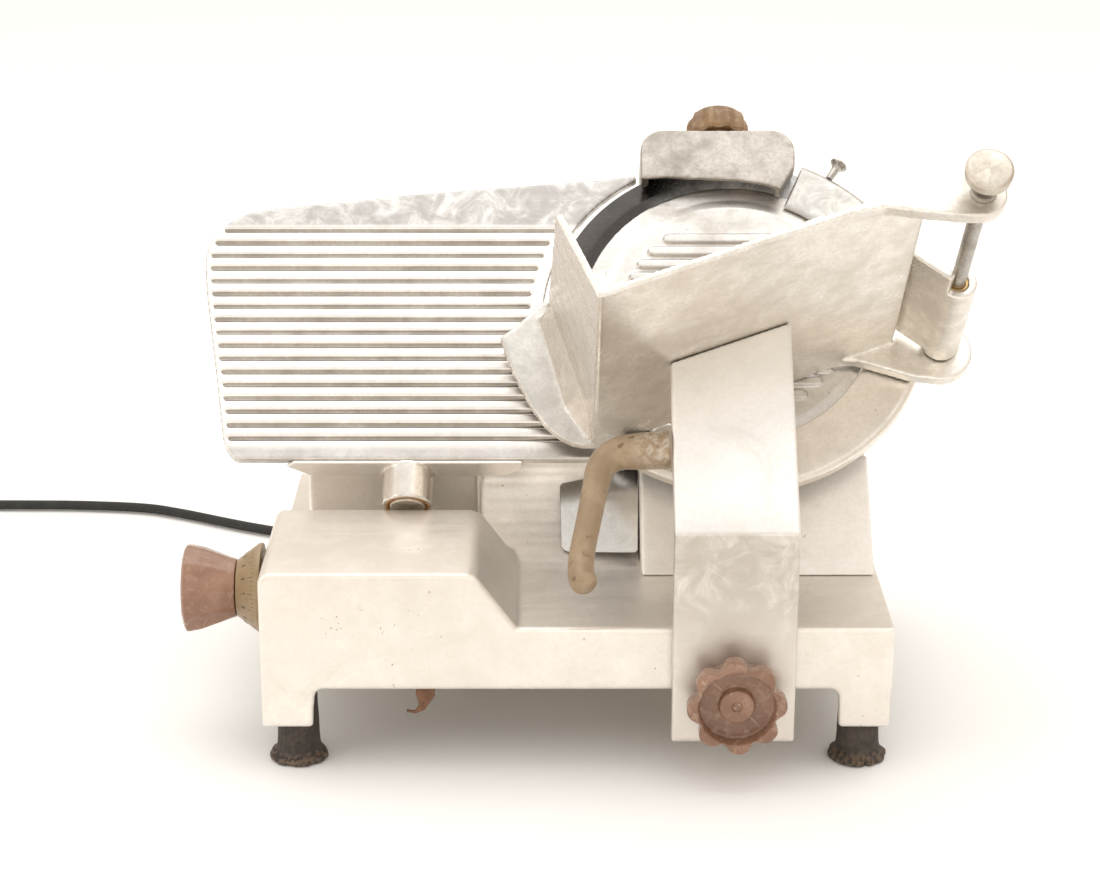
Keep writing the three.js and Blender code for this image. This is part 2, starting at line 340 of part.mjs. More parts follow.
// blade group
add('blade', latW([[9.8, -5], [116, -5], [130, -4.4], [149.4, -1], [150, -0.5], [149.4, -0.1], [134, 0], [126, -1.4], [9.8, -1.4], [9.8, -5]], 72), '#6a6967', 0.3, 0.9);
{
  let m = latW([[0, 0.5], [COVER_R, 0.5], [COVER_R, 1.8], [124, 2.6], [112, 3.2], [104, 5], [0, 5]], 64);
  for (let k = 0; k < 13; k++) {
    const v = 73.3 - PITCH * k, h = Math.sqrt(RIB_CIRCLE_R ** 2 - v * v);
    if (h < 20) continue;
    m = m.add(prW([...arc(h - 4, v, 4, -90, 90, 3), ...arc(-h + 4, v, 4, 90, 270, 3)], 4.5, 7.3));
  }
  add('blade_cover', m, ALU, 0.35, 0.8);
}
add('cover_tie_rod', latW([[0, 0.2], [4, 0.2], [4, -70.4], [10, -70.4], [10, -73.8], [0, -73.8]], 24), STEEL, 0.4, 0.8);
add('blade_arbor', latW([[4.6, -1.6], [9.5, -1.6], [9.5, -5.3], [30, -5.3], [30, -10.5], [12.4, -10.5], [12.4, -48], [9.5, -48], [9.5, -70], [4.6, -70], [4.6, -1.6]], 28), STEEL, 0.35, 0.9);
add('arbor_pulley', latW([[9.8, -50], [24, -50], [26, -53], [40, -53], [44, -50], [PULLEY_R, -50.5], [PULLEY_R, -65.5], [44, -66], [40, -63], [26, -63], [24, -66], [9.8, -66], [9.8, -50]], 36), ALU_D, 0.4, 0.7);
add('motor_pinion', join(cyl(8, P(MOTOR_U, MOTOR_V, -81), P(MOTOR_U, MOTOR_V, -65), 20), cyl(PINION_R, P(MOTOR_U, MOTOR_V, -66), P(MOTOR_U, MOTOR_V, -50), 28)), STEEL, 0.4, 0.8);
{
  const belt = (g) => {
    const d = Math.hypot(MOTOR_U, MOTOR_V), a = Math.atan2(MOTOR_V, MOTOR_U) / D2R, b = Math.acos((PULLEY_R - PINION_R) / d) / D2R;
    return [...arc(0, 0, PULLEY_R + g, a + b, a + 360 - b, 30), ...arc(MOTOR_U, MOTOR_V, PINION_R + g, a - b, a + b, 14)];
  };
  add('drive_belt', cut(prW(belt(2.8), -62, -54), prW(belt(0.35), -63, -53)), '#2a2a2a', 0.9, 0);
}
{
  let m = latW([[0, -178], [40, -178], [46, -172], [46, -86], [40, -81.4], [0, -81.4]], 40, MOTOR_U, MOTOR_V);
  m = cut(m, cyl(8.6, P(MOTOR_U, MOTOR_V, -84), P(MOTOR_U, MOTOR_V, -70), 20));
  add('motor_body', m, '#55606a', 0.55, 0.4);
}
// guard ring and its stays
{
  let m = latW([[GUARD_LIP_R, 3.5], [GUARD_LIP_R, 5.9], [GUARD_LIP_R + 4, GUARD_W], [154, GUARD_W], [GUARD_RO, 4], [GUARD_RO, -6], [152.6, -6], [152.6, 1], [GUARD_RI, 1], [GUARD_RI, 3.5], [GUARD_LIP_R, 3.5]], 80);
  const sec = [[0, 0], ...arc(0, 0, 230, GUARD_A1, GUARD_A0 + 360, 12)];
  m = cut(m, prW(sec, -20, 20));
  m = join(m, boxW(-9, 9, -157.6, -152.8, PED_W + GAP, -4));
  add('guard_ring', m, ALU, 0.35, 0.8);
  const stay = (a) => {
    const c = Math.cos(a * D2R), s = Math.sin(a * D2R), q = (r, t) => [r * c - t * s, r * s + t * c];
    const pl = (r0, r1, w0, w1, h) => prW([q(r0, -h), q(r1, -h), q(r1, h), q(r0, h)], w0, w1);
    return join(pl(62, 158, -35.7, -28, 9), pl(153, 158, -29, -6.3, 9));
  };
  add('guard_stay_upper', stay(48), ALU_D, 0.5, 0.6);
  add('guard_stay_lower', stay(-9), ALU_D, 0.5, 0.6);
  const a = P(85.2, 134.2, 2).sub(P(0, 0, 2)).normalize();
  const o = P(0, 0, 2).addScaledVector(a, 158.4);
  add('guard_stud', lat([[0, 0], [3, 0], [3, 11], [6, 14.5], [7.6, 16.5], [7.6, 17.6], [0, 18]], o, a, 20), STEEL, 0.35, 0.9);
}
// sharpener
{
  add('sharpener_bracket', join(boxW(-24, 9, 50, 78, -35.7, -28), boxW(-17, 2, 62, 78, -29, -9.5)), ALU_D, 0.5, 0.6);
  add('sharpener_post', cyl(5.5, P(SH_U, 78.3, SH_W), P(SH_U, 162, SH_W), 20), STEEL, 0.3, 0.9);
  const o = rp([[-74.6, 124, 2], [-74.6, 171.6, 20], [56, 171.6, 20], [55, 136.8, 2], [41.9, 113.3], [30, 118], [8, 122], [-54, 125.2]], 6);
  let m = prW(o, -26, 20);
  m = cut(m, prW([[-68, 90], [34, 90], [36, 113], [49, 137], [49, 164], [-68, 164]], -22, 16));
  const slot = prW(arc(0, 0, 153.5, 0, 360, 72), -9.5, 4.5);
  m = cut(m, slot);
  m = join(m, boxW(-17.5, 2.5, 140, 165, -23, -9.6));
  m = cut(m, cyl(5.9, P(SH_U, 100, SH_W), P(SH_U, 163, SH_W), 20), cyl(4.4, P(SH_U, 160, -2), P(SH_U, 180, -2), 20));
  add('sharpener_housing', m, ALU, 0.4, 0.8);
  add('sharpener_knob', join(fluted([[0, 22, 1], [3, 25.6, 3], [8.5, 26.6, 4], [15, 26, 4], [20, 23.5, 3], [23.5, 16, 0]], P(SH_U, 174.5, -2), AXV, 10, 50), cyl(4, P(SH_U, 166, -2), P(SH_U, 176, -2), 20)), '#6f4a30', 0.5, 0);
  add('grinding_stone', latW([[0, -20.5], [14, -20.5], [14, -11], [11, -9.9], [0, -9.9]], 28, -46, 139), '#9c9486', 0.95, 0);
  add('truing_stone', latW([[0, 15], [11, 15], [11, 6], [9, 4.9], [0, 4.9]], 28, 16, 139), '#a89f90', 0.95, 0);
}
// slice deflector
{
  const a = [V3(7.9, -60, -17.4), V3(72, -59, -3), V3(71.5, -107.5, -62.2), V3(9.5, -103, -60.2)];
  const nn = a[1].clone().sub(a[0]).cross(a[3].clone().sub(a[0])).normalize().multiplyScalar(1.2);
  const lerp = (p, q, t) => p.clone().lerp(q, t);
  const o = [lerp(a[0], a[1], 0.06), lerp(a[0], a[1], 0.96), lerp(a[1], a[2], 0.04), lerp(a[1], a[2], 0.96), lerp(a[2], a[3], 0.05), lerp(a[2], a[3], 0.88), lerp(a[3], a[0], 0.12), lerp(a[3], a[0], 0.95)];
  add('slice_deflector', skin([o, o.map((p) => p.clone().add(nn))]), '#a9a59c', 0.25, 0.9);
}
// rusty clip under the front wall
add('rusty_clip', prY([[-88, -96], [-88, -126], [-96, -138], [-103, -141], [-110, -139.5], [-110, -137.8], [-103.5, -138.6], [-100.5, -134], [-102.5, -124], [-102.5, -96]].reverse(), BASE_Y0 + WALL + GAP, BASE_Y0 + WALL + 2.6), '#6e3a24', 0.9, 0.3);
// rear controls
add('switch_plate', cut(box(-118, -62, BASE_Y1 + GAP, BASE_Y1 + 5, -68, -2), cyl(8, V3(-90, 90, -20), V3(-90, 130, -20), 24), cyl(8, V3(-90, 90, -48), V3(-90, 130, -48), 24)), '#55524d', 0.5, 0.1);
add('start_button', lat([[0, 0], [7.5, 0], [7.5, 14], [6.5, 15.5], [0, 16]], V3(-90, BASE_Y1 - 6, -20), V3(0, 1, 0), 28), '#3f6b3f', 0.4, 0);
add('stop_button', lat([[0, 0], [7.5, 0], [7.5, 14], [10.5, 14.5], [10.5, 19], [0, 20]], V3(-90, BASE_Y1 - 6, -48), V3(0, 1, 0), 28), '#8c2f25', 0.4, 0);
add('cord_gland', lat([[5.2, 0], [6.7, 0], [6.7, 7.3], [10, 7.4], [10, 13], [8, 15], [6.6, 38], [5.2, 38], [5.2, 0]], V3(10, 103, -95), V3(0, 1, 0), 20), RUB, 0.8, 0);
// mains cord on the table, spare length coiled, plug at its end
const CORD = [[10, 100, -95], [10, 120, -95], [10, 142, -95.3], [8, 166, -104], [2, 186, -130], [-10, 200, -160], [-32, 211, -177], [-62, 217, -178.9], [-120, 221, -178.9], [-200, 234, -178.9], [-279.6, 265, -178.9], [-359.6, 307, -178.9], [-390.7, 320, -178.9], [-452.6, 328.6, -178.9], [-520, 330.5, -178.9], [-581.5, 330.5, -178.9]];
add('cord_tube', tube(CORD.map((p) => V3(...p)), [4.5], 9, 54), '#26241f', 0.6, 0);
add('cord_coil', lat([[41, 0], [59, 0], [59, 17.6], [41, 17.6], [41, 0]], V3(-621, 381, -183.7), V3(0, 0, 1), 32), '#26241f', 0.6, 0);
add('cord_plug', lat([[0, 0], [5.4, 0], [7, 20], [9, 24], [17, 32], [19, 46], [19, 50], [17.5, 52], [0, 52]], V3(-671, 421.5, -164.6), V3(0, 1, 0), 28).add(cyl(2.4, V3(-680.5, 473, -164.6), V3(-680.5, 492, -164.6), 16)).add(cyl(2.4, V3(-661.5, 473, -164.6), V3(-661.5, 492, -164.6), 16)), '#2b2926', 0.5, 0);

export default group;
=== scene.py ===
import bpy, bmesh, math, json, random
import numpy as np
from mathutils import Vector, Matrix, noise as mnoise


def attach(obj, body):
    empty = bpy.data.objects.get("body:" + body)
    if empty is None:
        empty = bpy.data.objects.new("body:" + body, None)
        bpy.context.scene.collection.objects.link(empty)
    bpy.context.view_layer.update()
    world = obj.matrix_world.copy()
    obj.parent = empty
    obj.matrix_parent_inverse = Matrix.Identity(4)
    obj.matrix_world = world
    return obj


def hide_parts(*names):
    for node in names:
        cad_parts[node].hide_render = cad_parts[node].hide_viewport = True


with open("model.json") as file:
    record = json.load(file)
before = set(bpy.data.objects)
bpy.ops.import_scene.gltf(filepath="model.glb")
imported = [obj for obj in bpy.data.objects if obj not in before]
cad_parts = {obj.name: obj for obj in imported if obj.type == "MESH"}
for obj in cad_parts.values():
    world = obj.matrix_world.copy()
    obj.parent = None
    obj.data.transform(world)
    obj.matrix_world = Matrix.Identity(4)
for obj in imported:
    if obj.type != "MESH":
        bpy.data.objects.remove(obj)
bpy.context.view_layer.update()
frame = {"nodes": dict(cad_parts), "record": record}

col = bpy.context.scene.collection
SX, SY, FZ, S = 27.05, -64.38, -184.0, math.sqrt(0.5)
BX, BZ = 150.83, 105.1

def O(x, y, z): return Vector(((x - SX) / 1000, (y - SY) / 1000, (z - FZ) / 1000))
def P(u, v, w): return O(BX + u, S * (v - w), BZ + S * (v + w))
N, V, X = Vector((0, -S, S)), Vector((0, S, S)), Vector((1, 0, 0))

# ------------------------------------------------------------ camera, light, floor
sc = bpy.context.scene
sc.view_settings.view_transform = 'Standard'
cam = bpy.data.objects.new('camera', bpy.data.cameras.new('camera'))
cam.data.lens, cam.data.sensor_width = 84.33, 36
cam.location, cam.rotation_euler = O(0, -2041.96, 691.16), (math.radians(71.3), 0, 0)
cam.data.clip_end = 50
col.objects.link(cam); sc.camera = cam
w = bpy.data.worlds.new('studio'); sc.world = w; w.use_nodes = True
wt = w.node_tree; wb = wt.nodes['Background']; wtc = wt.nodes.new('ShaderNodeTexCoord'); wsp = wt.nodes.new('ShaderNodeSeparateXYZ'); wr = wt.nodes.new('ShaderNodeValToRGB')
wt.links.new(wtc.outputs['Generated'], wsp.inputs[0]); wt.links.new(wsp.outputs[2], wr.inputs[0]); wt.links.new(wr.outputs[0], wb.inputs[0])
for i, (pos, c) in enumerate(((0.0, (0.66, 0.57, 0.465)), (0.30, (0.74, 0.66, 0.56)), (0.62, (0.98, 0.93, 0.875)), (1.0, (1.0, 0.985, 0.965)))):
    e = wr.color_ramp.elements[i] if i < 2 else wr.color_ramp.elements.new(pos)
    e.position, e.color = pos, (*c, 1)
wb.inputs[1].default_value = 1.16

def area(name, loc, target, size, power, color=(1, 1, 1)):
    l = bpy.data.lights.new(name, 'AREA'); l.shape = 'RECTANGLE'; l.size, l.size_y = size; l.energy, l.color = power, color
    o = bpy.data.objects.new(name, l); col.objects.link(o); o.location = loc
    o.rotation_euler = (Vector(target) - Vector(loc)).to_track_quat('-Z', 'Y').to_euler()
area('top', (0.1, 0.6, 2.9), (0, 0, 0.2), (3.4, 2.6), 30, (1, 0.985, 0.96))
area('front', (0.2, -3.2, 1.1), (0, 0, 0.1), (2.4, 1.2), 9, (1, 0.98, 0.95))
area('left', (-2.3, -1.2, 1.3), (0, 0, 0.2), (1.6, 1.6), 9, (1, 0.99, 0.98))

def mesh_obj(name, verts, faces, smooth=True):
    me = bpy.data.meshes.new(name); me.from_pydata([tuple(v) for v in verts], [], faces); me.validate(); me.update()
    bm = bmesh.new(); bm.from_mesh(me); bmesh.ops.recalc_face_normals(bm, faces=bm.faces); bm.to_mesh(me); bm.free()
    me.polygons.foreach_set('use_smooth', [smooth] * len(me.polygons))
    o = bpy.data.objects.new(name, me); col.objects.link(o); return o

# ------------------------------------------------------------ materials
class T:
    def __init__(s, name):
        s.m = bpy.data.materials.new(name); s.m.use_nodes = True; s.t = s.m.node_tree; s.t.nodes.clear()
        o = s.t.nodes.new('ShaderNodeOutputMaterial'); s.b = s.t.nodes.new('ShaderNodeBsdfPrincipled')
        s.t.links.new(s.b.outputs[0], o.inputs[0]); s.tc = s.t.nodes.new('ShaderNodeTexCoord').outputs['Object']
    def lk(s, a, sock):
        if hasattr(a, 'links'): s.t.links.new(a, sock)
        else: sock.default_value = a
    def scale(s, v):
        n = s.t.nodes.new('ShaderNodeMapping'); n.inputs['Scale'].default_value = v; s.lk(s.tc, n.inputs[0]); return n.outputs[0]
    def noise(s, sc_, det=4, ro=0.55, vec=None, dist=0.0):
        n = s.t.nodes.new('ShaderNodeTexNoise'); s.lk(vec or s.tc, n.inputs['Vector']); n.inputs['Scale'].default_value = sc_
        n.inputs['Detail'].default_value = det; n.inputs['Roughness'].default_value = ro; n.inputs['Distortion'].default_value = dist; return n.outputs['Fac']
    def vor(s, sc_, feat='F1'):
        n = s.t.nodes.new('ShaderNodeTexVoronoi'); s.lk(s.tc, n.inputs['Vector']); n.inputs['Scale'].default_value = sc_; n.feature = feat; return n.outputs['Distance']
    def rng(s, x, a, b, c=0.0, d=1.0):
        n = s.t.nodes.new('ShaderNodeMapRange'); n.interpolation_type = 'SMOOTHSTEP'; s.lk(x, n.inputs[0])
        for i, q in enumerate((a, b, c, d)): n.inputs[i + 1].default_value = q
        return n.outputs[0]
    def op(s, o, a, b):
        n = s.t.nodes.new('ShaderNodeMath'); n.operation = o; s.lk(a, n.inputs[0]); s.lk(b, n.inputs[1]); return n.outputs[0]
    def mix(s, f, a, b):
        n = s.t.nodes.new('ShaderNodeMix'); n.data_type = 'RGBA'; s.lk(f, n.inputs[0])
        for v, i in ((a, 6), (b, 7)): s.lk(v if hasattr(v, 'links') else (*v[:3], 1), n.inputs[i])
        return n.outputs[2]
    def dist(s, c):
        n = s.t.nodes.new('ShaderNodeVectorMath'); n.operation = 'DISTANCE'; s.lk(s.tc, n.inputs[0]); n.inputs[1].default_value = tuple(c); return n.outputs['Value']
    def sep(s):
        n = s.t.nodes.new('ShaderNodeSeparateXYZ'); s.lk(s.tc, n.inputs[0]); return n.outputs
    def bump(s, h, st, d=0.001):
        n = s.t.nodes.new('ShaderNodeBump'); s.lk(h, n.inputs['Height']); n.inputs['Strength'].default_value = st; n.inputs['Distance'].default_value = d
        s.lk(n.outputs[0], s.b.inputs['Normal'])
    def done(s, c, r, metal=0.0, **k):
        s.lk(c, s.b.inputs['Base Color']); s.lk(r, s.b.inputs['Roughness']); s.lk(metal, s.b.inputs['Metallic'])
        for a, b in k.items(): s.b.inputs[a.replace('_', ' ')].default_value = b
        return s.m

BROWN = (0.20, 0.11, 0.05)
def alu(name, ca, cb, r0, r1, brush=(6, 500, 500), bst=0.12, cast=0.25, specks=0.5, spots_and_painted_shadows=(), metal=1.0, stain=0.35, grads=(), edge_wear_and_highlight=0.5, crease_shade=0.3, mgrad=None, grain=0.35):
    t = T(name)
    big, mid, fine = t.noise(7, 4, 0.6, dist=0.6), t.noise(48, 5, 0.6), t.noise(420, 3, 0.5)
    f = t.op('ADD', t.op('MULTIPLY', big, 0.55), t.op('MULTIPLY', mid, 0.45))
    c = t.mix(t.rng(f, 0.40, 0.62), ca, cb)
    c = t.mix(t.op('MULTIPLY', t.rng(t.noise(330, 3, 0.7), 0.42, 0.62), grain), c, tuple(x * y for x, y in zip(cb, (0.93, 0.91, 0.88))))
    st = t.op('MULTIPLY', t.rng(t.noise(17, 6, 0.7, dist=1.2), 0.55, 0.78), stain)
    c = t.mix(st, c, tuple(x * y for x, y in zip(cb, (0.74, 0.70, 0.64))))
    # spots round given centres: some are stains, the one over the star knob on the arm is a painted shadow
    for ctr, rad, cc, stg in spots_and_painted_shadows:
        k = t.op('MULTIPLY', t.rng(t.dist(ctr), 0, rad, 1, 0), t.rng(t.noise(30, 5, 0.7, dist=0.8), 0.30, 0.62, 0.25, stg))
        c = t.mix(k, c, cc)
    # grads: colour ramps along a direction, used as painted shade on the arm, gauge and guard and as painted light on
    # the blade
    for vec, a_, b_, cc, stg in grads:
        n = t.t.nodes.new('ShaderNodeVectorMath'); n.operation = 'DOT_PRODUCT'; t.lk(t.tc, n.inputs[0]); n.inputs[1].default_value = tuple(vec)
        k = t.op('MULTIPLY', t.rng(n.outputs['Value'], a_, b_, 0, 1), t.rng(t.noise(38, 5, 0.7, dist=0.9), 0.30, 0.60, 0.35, 1.0))
        c = t.mix(t.op('MULTIPLY', k, stg), c, cc)
    # Pointiness: convex edges lightened as edge wear and painted highlight, concave creases darkened as painted shade
    if edge_wear_and_highlight:
        g = t.t.nodes.new('ShaderNodeNewGeometry').outputs['Pointiness']
        c = t.mix(t.op('MULTIPLY', t.op('MULTIPLY', t.rng(g, 0.515, 0.58), t.rng(t.noise(120, 3, 0.6), 0.35, 0.55, 0.4, 1.0)), edge_wear_and_highlight), c, tuple(min(0.96, x * 1.28) for x in ca))
        c = t.mix(t.op('MULTIPLY', t.rng(g, 0.488, 0.44), crease_shade), c, tuple(x * y for x, y in zip(cb, (0.55, 0.49, 0.42))))
    if specks:
        k = t.op('MULTIPLY', t.rng(t.noise(230, 2, 0.5), 0.70, 0.76), t.rng(t.noise(11, 3, 0.6), 0.48, 0.66))
        c = t.mix(t.op('MULTIPLY', k, specks), c, BROWN)
    br = t.noise(1.0, 3, 0.6, vec=t.scale(brush))
    r = t.op('ADD', t.rng(t.op('ADD', t.op('MULTIPLY', mid, 0.5), t.op('MULTIPLY', br, 0.5)), 0.35, 0.65, r0, r1), t.op('MULTIPLY', st, 0.25))
    t.bump(t.op('ADD', t.op('MULTIPLY', br, bst), t.op('ADD', t.op('MULTIPLY', fine, cast), t.op('MULTIPLY', big, 0.5))), 0.35, 0.0006)
    if mgrad: metal = t.rng(t.sep()[0], *mgrad)
    return t.done(c, r, metal)

LT, DK = (0.88, 0.825, 0.76), (0.72, 0.655, 0.57)
Z0 = lambda z: (z - FZ) / 1000
M = {}
M['cast_aluminium'] = alu('cast_aluminium', (0.90, 0.855, 0.80), (0.83, 0.785, 0.725), 0.28, 0.42, metal=0.66, stain=0.25, brush=(8, 420, 420), bst=0.10, cast=0.22, specks=0.8,
    spots_and_painted_shadows=[(O(-60, -244.6, -60), 0.13, (0.78, 0.74, 0.68), 0.5), (O(-105, -200, -24), 0.12, (0.66, 0.60, 0.52), 0.6), (O(-190, -200, -24), 0.08, (0.62, 0.55, 0.46), 0.5)])
# arm: grads paint the upright lower part darker below the bend (painted shade) and darker again towards the bottom; the
# first spot is a painted shadow above the star knob
M['arm'] = alu('arm_aluminium', (0.955, 0.94, 0.92), (0.92, 0.90, 0.87), 0.34, 0.48, brush=(14, 260, 90), bst=0.10, cast=0.05, metal=0.8, specks=0.25,
    grads=[((0, 0, 1), Z0(16), Z0(12.0), (0.53, 0.485, 0.43), 0.95), ((0, 0, 1), Z0(-15), Z0(-100), (0.80, 0.755, 0.70), 0.75)],
    spots_and_painted_shadows=[(O(138, -258.6, -66), 0.062, (0.40, 0.38, 0.36), 0.7), (O(115, -258.6, -2), 0.05, (0.52, 0.485, 0.44), 0.6), (O(160, -258.6, -4), 0.05, (0.56, 0.53, 0.48), 0.6)])
M['ground_aluminium'] = alu('ground_aluminium', (0.87, 0.84, 0.79), (0.70, 0.655, 0.59), 0.26, 0.42, brush=(9, 420, 420), bst=0.14, cast=0.08, specks=0.35,
    spots_and_painted_shadows=[(P(-40, -92, 130), 0.085, (0.50, 0.455, 0.395), 0.8)])
M['tray_flange'] = alu('tray_flange', (0.66, 0.635, 0.60), (0.50, 0.475, 0.44), 0.30, 0.44, brush=(60, 200, 30), bst=0.22, cast=0.05, specks=0.3, stain=0.6)
M['tray_polished'] = alu('tray_polished', (0.84, 0.80, 0.75), (0.72, 0.67, 0.61), 0.20, 0.32, brush=(300, 300, 12), bst=0.10, cast=0.03, specks=0.15)
vdot = lambda v_: P(0, v_, 0).dot(V)
# gauge plate: darker strip above v=88.5, and a painted shade band along the bottom
M['gauge_aluminium'] = alu('gauge_aluminium', (0.875, 0.855, 0.83), (0.78, 0.75, 0.715), 0.26, 0.42, brush=(5, 500, 500), bst=0.14, cast=0.06, specks=0.2, stain=0.5,
    grads=[(V, vdot(88.5), vdot(94), (0.40, 0.38, 0.36), 1.0), (V, vdot(-113), vdot(-120), (0.52, 0.49, 0.455), 0.9)])
# groove bottoms: darker copy of the gauge aluminium, painted shade inside the grooves
M['gauge_groove'] = alu('gauge_groove', (0.47, 0.435, 0.39), (0.35, 0.32, 0.28), 0.32, 0.5, brush=(5, 500, 500), bst=0.14, cast=0.06, specks=0.3, stain=0.5)
# cover: strong crease darkening, painted shade under the ribs and in hollows
M['cover_aluminium'] = alu('cover_aluminium', (0.68, 0.655, 0.625), (0.56, 0.53, 0.495), 0.28, 0.44, brush=(12, 300, 300), bst=0.08, cast=0.10, specks=0.35, crease_shade=0.95)
# guard: the grad paints the upper part darker, painted shade
M['guard_aluminium'] = alu('guard_aluminium', (0.88, 0.84, 0.785), (0.76, 0.71, 0.65), 0.30, 0.46, grads=[(V, vdot(40), vdot(95), (0.45, 0.43, 0.405), 0.95)], brush=(12, 300, 300), bst=0.08, cast=0.10, specks=0.35)
M['dull_aluminium'] = alu('dull_aluminium', (0.74, 0.69, 0.61), (0.56, 0.51, 0.44), 0.38, 0.60, brush=(20, 90, 90), bst=0.06, cast=0.4, specks=0.6)
# sharpener housing: strong edge lightening, edge wear and a painted highlight on the rounded rim
M['sharp_aluminium'] = alu('sharpener_aluminium', (0.50, 0.465, 0.42), (0.31, 0.285, 0.255), 0.30, 0.48, edge_wear_and_highlight=0.95, brush=(60, 60, 60), bst=0.04, cast=0.3, specks=0.3, stain=0.7)
# sharpener inner faces: off-white non-metal, painted light so the shaded cavity and its reflection in the blade look
# lighter
M['sharp_inner'] = alu('sharpener_inner_painted_light', (0.86, 0.84, 0.80), (0.74, 0.71, 0.66), 0.5, 0.7, metal=0.0)
# blade: lighter and less metallic towards the right, painted light standing in for the reflection there
M['blade_steel'] = alu('blade_steel', (0.072, 0.066, 0.063), (0.050, 0.047, 0.045), 0.18, 0.30, grads=[((1, 0, 0), P(-75, 0, 0).x, P(0, 0, 0).x, (0.70, 0.705, 0.71), 0.97)], mgrad=(P(-75, 0, 0).x, P(0, 0, 0).x, 1.0, 0.35), brush=(260, 260, 260), bst=0.05, cast=0.04, specks=0.0, stain=0.4)
M['blade_bright'] = alu('blade_bright', (0.60, 0.61, 0.62), (0.42, 0.43, 0.44), 0.14, 0.24, brush=(260, 260, 260), bst=0.05, cast=0.02, specks=0.6)
# pedestal: lighter, less metallic copy of the cast aluminium, painted light on a part that sits in shadow
M['pedestal_cast'] = alu('pedestal_cast', (0.965, 0.93, 0.885), (0.90, 0.86, 0.805), 0.30, 0.44, metal=0.30, stain=0.2, brush=(8, 420, 420), bst=0.06, cast=0.15, specks=0.7)
M['steel'] = alu('steel', (0.50, 0.48, 0.45), (0.33, 0.30, 0.27), 0.24, 0.42, brush=(90, 90, 90), bst=0.08, cast=0.12, specks=0.6)
M['stainless_sheet'] = alu('stainless_sheet', (0.60, 0.585, 0.555), (0.50, 0.48, 0.45), 0.16, 0.26, brush=(400, 30, 30), bst=0.10, cast=0.02, specks=0.3, stain=0.5)
M['bore_orange'] = alu('bore_orange', (0.80, 0.42, 0.12), (0.40, 0.17, 0.05), 0.4, 0.7, specks=1.0, metal=0.4)

def bake(name, ca, cb, dust, r0=0.26, r1=0.42, ds=0.55):
    t = T(name); a, b, f = t.noise(22, 5, 0.6, dist=0.7), t.noise(140, 4, 0.6), t.noise(700, 2, 0.5)
    c = t.mix(t.rng(a, 0.38, 0.64), ca, cb)
    g = t.m.node_tree.nodes.new('ShaderNodeNewGeometry').outputs['Pointiness']
    c = t.mix(t.op('MULTIPLY', t.rng(g, 0.515, 0.60), 0.55), c, dust)
    c = t.mix(t.op('MULTIPLY', t.rng(b, 0.52, 0.70), ds), c, dust)
    t.bump(t.op('ADD', t.op('MULTIPLY', f, 0.3), t.op('MULTIPLY', b, 0.6)), 0.25, 0.0005)
    return t.done(c, t.rng(b, 0.3, 0.7, r0, r1), 0.0, Coat_Weight=0.25, Coat_Roughness=0.18)
M['bakelite'] = bake('bakelite', (0.21, 0.108, 0.066), (0.30, 0.165, 0.108), (0.52, 0.38, 0.28), 0.18, 0.32, ds=0.35)
M['bakelite_thick'] = bake('bakelite_thickness', (0.24, 0.12, 0.075), (0.33, 0.185, 0.12), (0.50, 0.35, 0.25), 0.16, 0.30, ds=0.3)
M['bakelite_top'] = bake('bakelite_top', (0.20, 0.11, 0.045), (0.30, 0.18, 0.085), (0.46, 0.33, 0.19), ds=0.5)
M['dial'] = bake('dial_cream', (0.27, 0.185, 0.095), (0.35, 0.255, 0.145), (0.16, 0.095, 0.045), 0.35, 0.55, 0.35)
M['ink'] = bake('dial_ink', (0.06, 0.035, 0.02), (0.10, 0.06, 0.03), (0.2, 0.13, 0.07), 0.5, 0.7, 0.2)

def khaki():
    t = T('khaki_grip'); a, b, f = t.noise(26, 5, 0.6, dist=0.5), t.noise(150, 5, 0.65), t.noise(600, 2, 0.5)
    c = t.mix(t.rng(a, 0.35, 0.65), (0.30, 0.215, 0.135), (0.39, 0.29, 0.19))
    c = t.mix(t.op('MULTIPLY', t.rng(b, 0.50, 0.68), 0.6), c, (0.30, 0.215, 0.125))
    k = t.rng(t.dist(P(-70, -171, 110)), 0.0, 0.028, 1, 0)
    c = t.mix(t.op('MULTIPLY', k, t.rng(b, 0.42, 0.60)), c, (0.66, 0.61, 0.54))
    c = t.mix(t.op('MULTIPLY', t.rng(t.noise(90, 3, 0.5), 0.62, 0.70), 0.7), c, (0.16, 0.085, 0.04))
    t.bump(t.op('ADD', b, t.op('MULTIPLY', f, 0.4)), 0.3, 0.0006)
    return t.done(c, t.rng(b, 0.3, 0.7, 0.30, 0.50), 0.25)
M['khaki_grip'] = khaki()

def rub(name, ca, cb, wear, ws, r=(0.55, 0.8)):
    t = T(name); a, b, f = t.noise(60, 5, 0.65, dist=0.8), t.noise(260, 4, 0.6), t.noise(900, 2, 0.5)
    c = t.mix(t.rng(a, 0.35, 0.65), ca, cb); z = t.sep()[2]
    k = t.op('MULTIPLY', t.rng(z, 0.004, 0.012, 1, 0.15), t.rng(b, 0.42, 0.60))
    c = t.mix(t.op('MULTIPLY', k, ws), c, wear)
    t.bump(t.op('ADD', a, t.op('MULTIPLY', b, 0.6)), 0.5, 0.0012)
    return t.done(c, t.rng(f, 0.3, 0.7, *r))
M['rubber'] = rub('rubber', (0.030, 0.024, 0.020), (0.055, 0.044, 0.036), (0.22, 0.15, 0.09), 0.6)
M['cord'] = rub('cord_rubber', (0.012, 0.0115, 0.010), (0.020, 0.019, 0.016), (0.04, 0.036, 0.03), 0.2, (0.55, 0.75))
M['black_plastic'] = rub('black_plastic', (0.022, 0.022, 0.023), (0.038, 0.037, 0.036), (0.05, 0.05, 0.05), 0.1, (0.35, 0.5))
